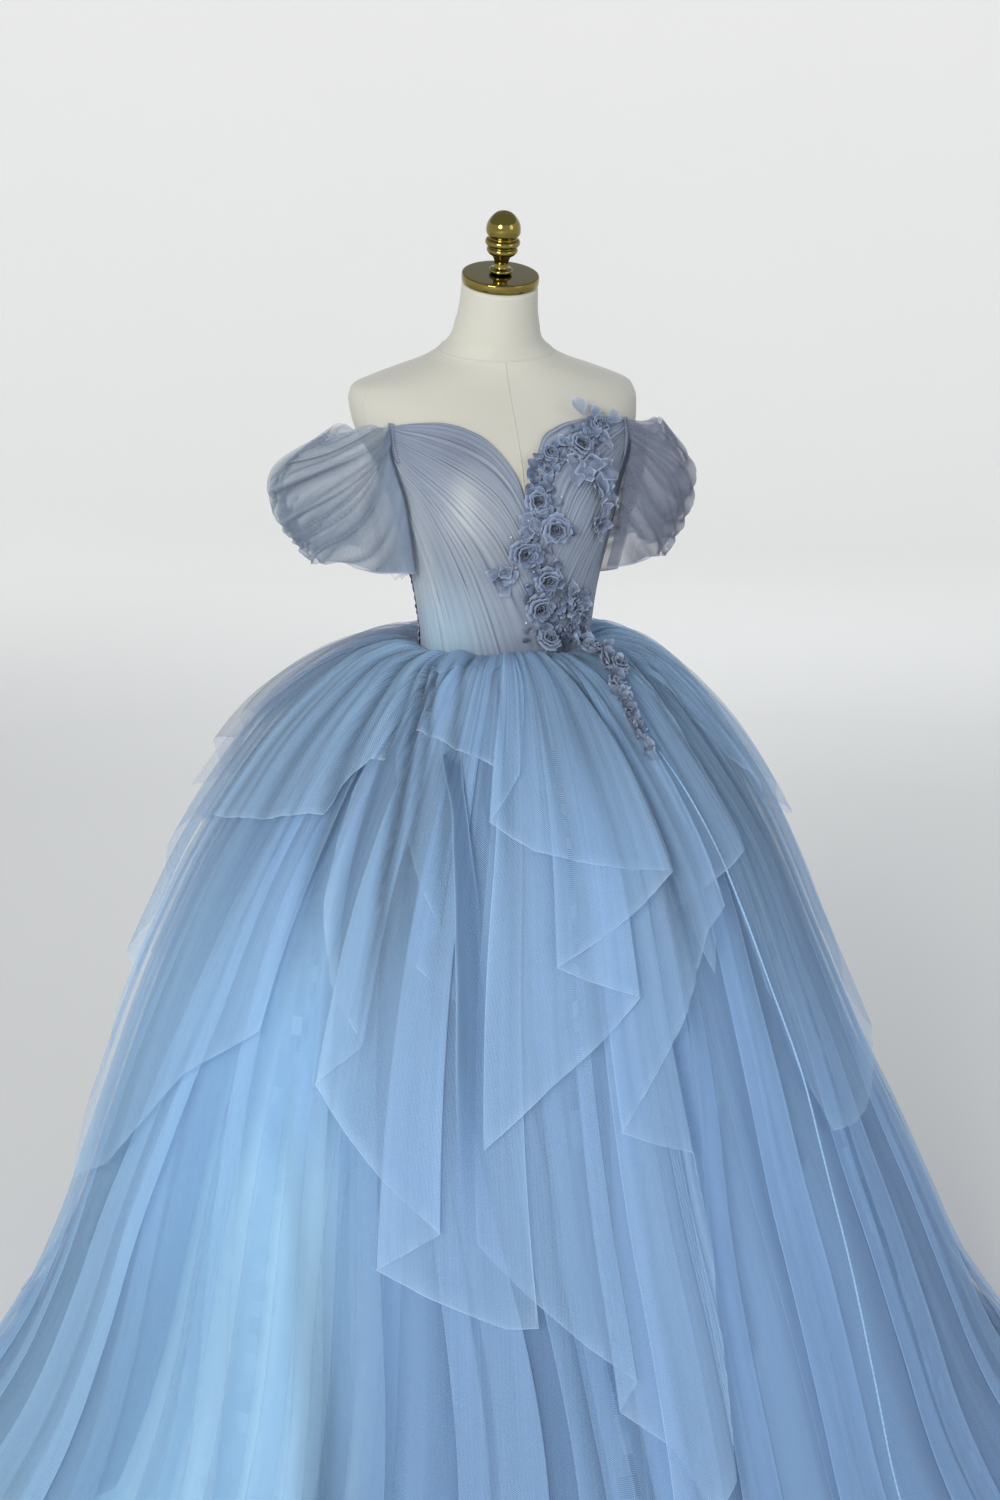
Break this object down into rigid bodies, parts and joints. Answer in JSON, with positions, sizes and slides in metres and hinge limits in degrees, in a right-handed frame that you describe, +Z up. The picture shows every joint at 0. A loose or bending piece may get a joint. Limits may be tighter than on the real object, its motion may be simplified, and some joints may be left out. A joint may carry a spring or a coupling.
{
  "type": "ball gown on dress form",
  "caption": "Off-shoulder ball gown with ruched bodice, puffed sleeves, full layered skirt with pointed overlays and fabric roses, on a limbless dress form with a base.",
  "frame": {"origin": "centre of the underside of the stand's base plate, on the floor", "axes": "+Z up; the gown's front faces -Y; +X is to the right of someone who looks at the front"},
  "size_m": [1.5859, 1.5845, 1.6729],
  "materials": {
    "form_fabric": "smooth ivory cotton over a firm body",
    "gold": "polished gold-coloured metal",
    "stand": "ivory powder coat",
    "bodice_tulle": "ruched tulle over an opaque ground",
    "sleeve_tulle": "sheer layered tulle",
    "skirt_tulle": "sheer layered tulle",
    "overlay_tulle": "sheer tulle",
    "lining": "pale satin",
    "petals": "folded organza petals",
    "zip_tape": "woven tape",
    "zip_metal": "enamelled metal"
  },
  "bodies": {
    "gown": {"form_torso": "form_fabric", "form_neck_cap": "gold", "form_finial": "gold", "form_pole": "stand", "form_base": "stand", "bodice_front_left": "bodice_tulle", "bodice_front_right": "bodice_tulle", "bodice_back_left": "bodice_tulle", "bodice_back_right": "bodice_tulle", "sleeve_left": "sleeve_tulle", "sleeve_right": "sleeve_tulle", "skirt_gore_1": "skirt_tulle", "skirt_gore_2": "skirt_tulle", "skirt_gore_3": "skirt_tulle", "skirt_gore_4": "skirt_tulle", "skirt_gore_5": "skirt_tulle", "skirt_gore_6": "skirt_tulle", "skirt_gore_7": "skirt_tulle", "skirt_gore_8": "skirt_tulle", "skirt_lining_left": "lining", "skirt_lining_right": "lining", "overlay_front_tip": "overlay_tulle", "overlay_front_upper": "overlay_tulle", "overlay_front_lower": "overlay_tulle", "overlay_front_right": "overlay_tulle", "overlay_front_long": "overlay_tulle", "overlay_front_left": "overlay_tulle", "overlay_side_right": "overlay_tulle", "overlay_side_left": "overlay_tulle", "overlay_back_left": "overlay_tulle", "overlay_back_centre": "overlay_tulle", "overlay_back_right": "overlay_tulle", "overlay_back_upper": "overlay_tulle", "rose_01": "petals", "rose_02": "petals", "rose_03": "petals", "rose_04": "petals", "rose_05": "petals", "rose_06": "petals", "rose_07": "petals", "rose_08": "petals", "rose_09": "petals", "rose_10": "petals", "rose_11": "petals", "rose_12": "petals", "petals_01": "petals", "petals_02": "petals", "petals_03": "petals", "petals_04": "petals", "spray_01": "petals", "spray_02": "petals", "spray_03": "petals", "spray_04": "petals", "spray_05": "petals", "zip_tape": "zip_tape", "zip_slider": "zip_metal"},
    "pull_tab": {"zip_pull": "zip_metal"}
  },
  "joints": [
    {"name": "zip_pull_swing", "type": "hinge", "parent": "gown", "child": "pull_tab", "pos_m": [0, 0.11298, 1.29], "axis": [1, 0, 0], "range_deg": [0, 150]}
  ]
}
